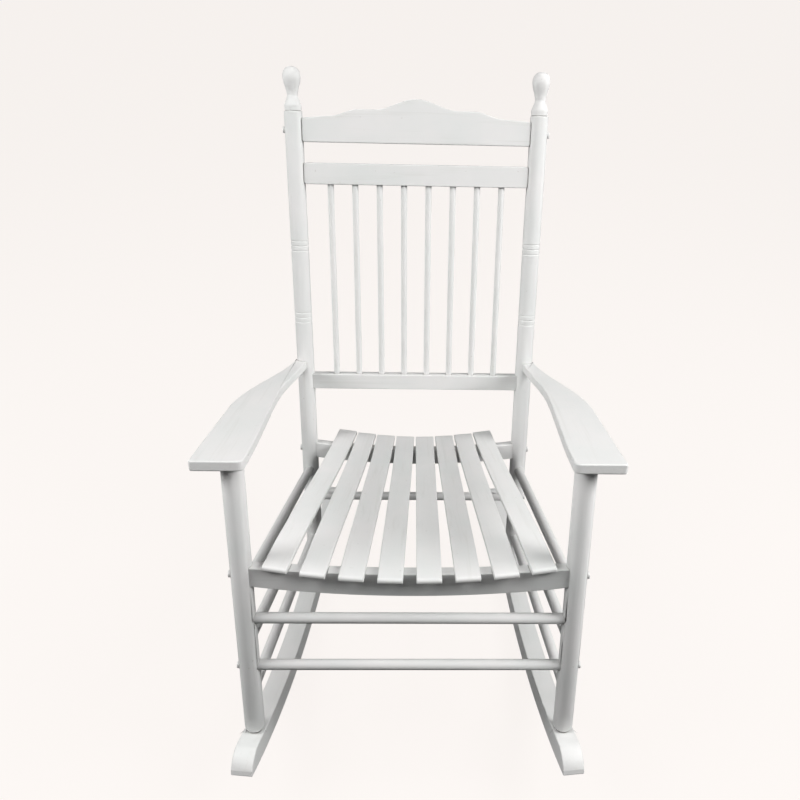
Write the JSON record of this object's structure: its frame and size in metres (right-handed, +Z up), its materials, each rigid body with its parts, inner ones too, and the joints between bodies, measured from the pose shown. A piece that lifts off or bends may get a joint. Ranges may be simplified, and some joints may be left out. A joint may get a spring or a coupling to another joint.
{
  "type": "rocking chair",
  "caption": "White painted wooden porch rocking chair with a spindle back, slatted seat, flat arms and curved rockers",
  "frame": {"origin": "middle of the chair's footprint on the floor, chair at rest on its rockers", "axes": "X to the sitter's left-to-right seen from the front, right of the picture positive; Y from the front of the chair to its back; Z up"},
  "size_m": [0.6642, 0.8715, 1.126],
  "materials": {
    "white_paint": "satin white paint over wood",
    "painted_bolts": "satin white paint",
    "zinc_steel": "dull zinc plate"
  },
  "bodies": {
    "root": {"rocker_left": "white_paint", "rocker_right": "white_paint", "front_post_left": "white_paint", "front_post_right": "white_paint", "back_post_left": "white_paint", "back_post_right": "white_paint", "arm_left": "white_paint", "arm_right": "white_paint", "crest_rail": "white_paint", "upper_back_rail": "white_paint", "lower_back_rail": "white_paint", "spindle_1": "white_paint", "spindle_2": "white_paint", "spindle_3": "white_paint", "spindle_4": "white_paint", "spindle_5": "white_paint", "spindle_6": "white_paint", "spindle_7": "white_paint", "spindle_8": "white_paint", "front_seat_rail": "white_paint", "rear_seat_rail": "white_paint", "side_seat_rail_left": "white_paint", "side_seat_rail_right": "white_paint", "seat_slat_1": "white_paint", "seat_slat_2": "white_paint", "seat_slat_3": "white_paint", "seat_slat_4": "white_paint", "seat_slat_5": "white_paint", "seat_slat_6": "white_paint", "seat_slat_7": "white_paint", "seat_slat_8": "white_paint", "front_stretcher_upper": "white_paint", "front_stretcher_lower": "white_paint", "rear_stretcher": "white_paint", "side_stretcher_upper_left": "white_paint", "side_stretcher_upper_right": "white_paint", "side_stretcher_lower_left": "white_paint", "side_stretcher_lower_right": "white_paint", "frame_bolts": "painted_bolts", "barrel_nuts": "zinc_steel", "arm_pins": "painted_bolts", "arm_screws": "zinc_steel", "slat_screws": "zinc_steel", "rocker_screws": "zinc_steel"}
  },
  "joints": []
}
